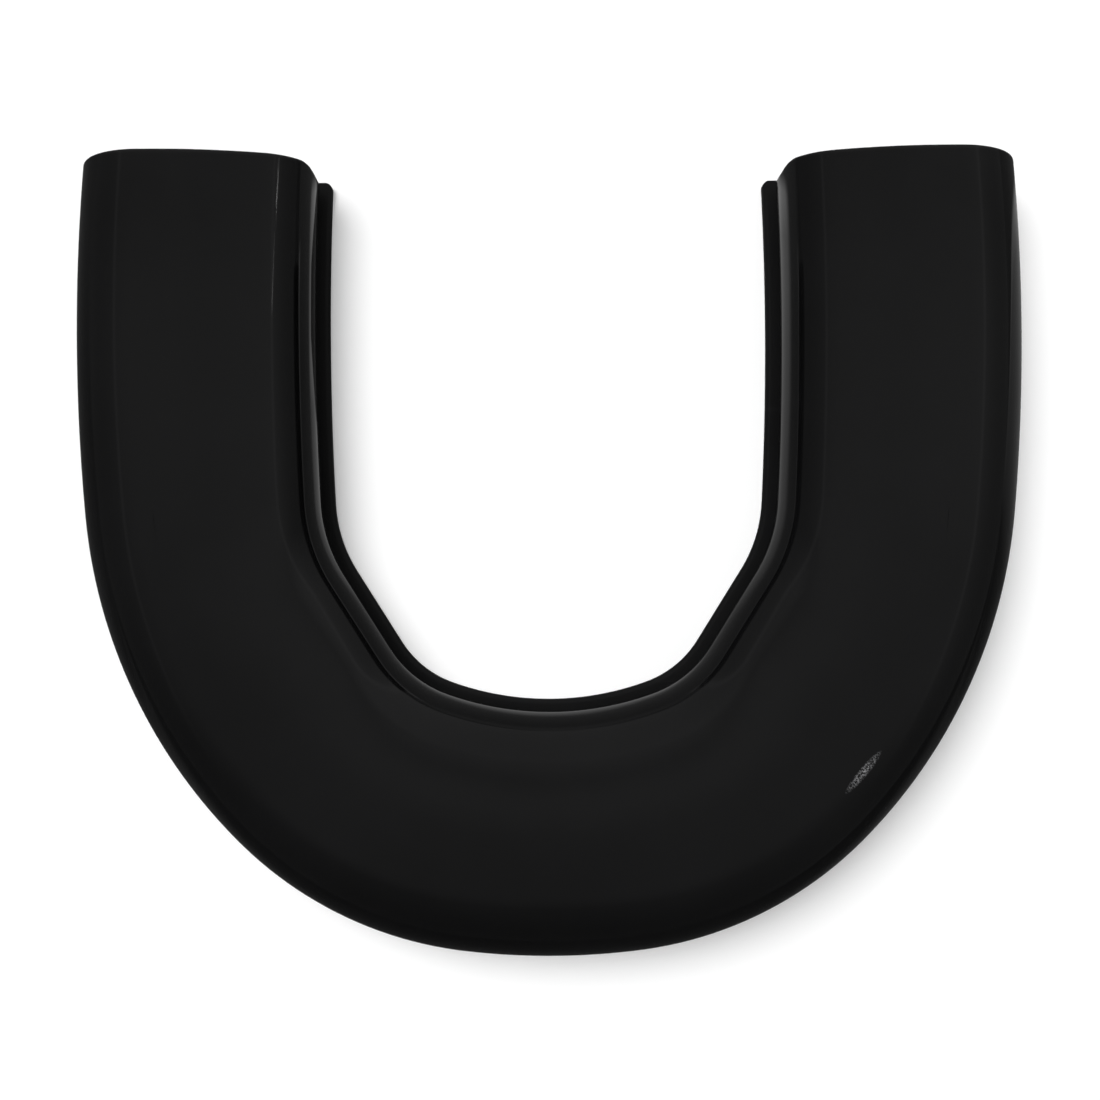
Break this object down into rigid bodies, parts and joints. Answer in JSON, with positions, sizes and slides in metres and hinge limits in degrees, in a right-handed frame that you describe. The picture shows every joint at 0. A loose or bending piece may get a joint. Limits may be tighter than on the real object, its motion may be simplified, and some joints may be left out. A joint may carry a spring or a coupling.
{
  "type": "headless tambourine",
  "caption": "Horseshoe-shaped headless tambourine: a glossy black two-part housing with rolled edges, an inner sound slot and sliding jingle pairs on pins.",
  "frame": {"origin": "middle of the bounding box, on the underside of the back plate", "axes": "+X across both arms, to the right; +Y towards the open ends of the arms; +Z out of the front face"},
  "size_m": [0.254, 0.213, 0.034],
  "materials": {
    "cover_gloss": "high-gloss black moulded plastic",
    "plate_plastic": "satin black moulded plastic",
    "screw_steel": "black oxide steel",
    "pin_steel": "drawn bright steel",
    "jingle_metal": "nickel-plated pressed steel, lightly hammered"
  },
  "bodies": {
    "housing": {"front_cover": "cover_gloss", "back_plate": "plate_plastic", "cover_screws": "screw_steel", "jingle_pin_1": "pin_steel", "jingle_pin_2": "pin_steel", "jingle_pin_3": "pin_steel", "jingle_pin_4": "pin_steel", "jingle_pin_5": "pin_steel", "jingle_pin_6": "pin_steel", "jingle_pin_7": "pin_steel"},
    "jingle_1_lower": {"jingle_1_lower": "jingle_metal"},
    "jingle_1_upper": {"jingle_1_upper": "jingle_metal"},
    "jingle_2_lower": {"jingle_2_lower": "jingle_metal"},
    "jingle_2_upper": {"jingle_2_upper": "jingle_metal"},
    "jingle_3_lower": {"jingle_3_lower": "jingle_metal"},
    "jingle_3_upper": {"jingle_3_upper": "jingle_metal"},
    "jingle_4_lower": {"jingle_4_lower": "jingle_metal"},
    "jingle_4_upper": {"jingle_4_upper": "jingle_metal"},
    "jingle_5_lower": {"jingle_5_lower": "jingle_metal"},
    "jingle_5_upper": {"jingle_5_upper": "jingle_metal"},
    "jingle_6_lower": {"jingle_6_lower": "jingle_metal"},
    "jingle_6_upper": {"jingle_6_upper": "jingle_metal"},
    "jingle_7_lower": {"jingle_7_lower": "jingle_metal"},
    "jingle_7_upper": {"jingle_7_upper": "jingle_metal"}
  },
  "joints": [
    {"name": "jingle_1_lower_slide", "type": "slide", "parent": "housing", "child": "jingle_1_lower", "axis": [0, 0, 1], "range_m": [0, 0.002]},
    {"name": "jingle_1_upper_slide", "type": "slide", "parent": "jingle_1_lower", "child": "jingle_1_upper", "axis": [0, 0, 1], "range_m": [0, 0.002]},
    {"name": "jingle_2_lower_slide", "type": "slide", "parent": "housing", "child": "jingle_2_lower", "axis": [0, 0, 1], "range_m": [0, 0.002]},
    {"name": "jingle_2_upper_slide", "type": "slide", "parent": "jingle_2_lower", "child": "jingle_2_upper", "axis": [0, 0, 1], "range_m": [0, 0.002]},
    {"name": "jingle_3_lower_slide", "type": "slide", "parent": "housing", "child": "jingle_3_lower", "axis": [0, 0, 1], "range_m": [0, 0.002]},
    {"name": "jingle_3_upper_slide", "type": "slide", "parent": "jingle_3_lower", "child": "jingle_3_upper", "axis": [0, 0, 1], "range_m": [0, 0.002]},
    {"name": "jingle_4_lower_slide", "type": "slide", "parent": "housing", "child": "jingle_4_lower", "axis": [0, 0, 1], "range_m": [0, 0.002]},
    {"name": "jingle_4_upper_slide", "type": "slide", "parent": "jingle_4_lower", "child": "jingle_4_upper", "axis": [0, 0, 1], "range_m": [0, 0.002]},
    {"name": "jingle_5_lower_slide", "type": "slide", "parent": "housing", "child": "jingle_5_lower", "axis": [0, 0, 1], "range_m": [0, 0.002]},
    {"name": "jingle_5_upper_slide", "type": "slide", "parent": "jingle_5_lower", "child": "jingle_5_upper", "axis": [0, 0, 1], "range_m": [0, 0.002]},
    {"name": "jingle_6_lower_slide", "type": "slide", "parent": "housing", "child": "jingle_6_lower", "axis": [0, 0, 1], "range_m": [0, 0.002]},
    {"name": "jingle_6_upper_slide", "type": "slide", "parent": "jingle_6_lower", "child": "jingle_6_upper", "axis": [0, 0, 1], "range_m": [0, 0.002]},
    {"name": "jingle_7_lower_slide", "type": "slide", "parent": "housing", "child": "jingle_7_lower", "axis": [0, 0, 1], "range_m": [0, 0.002]},
    {"name": "jingle_7_upper_slide", "type": "slide", "parent": "jingle_7_lower", "child": "jingle_7_upper", "axis": [0, 0, 1], "range_m": [0, 0.002]}
  ]
}
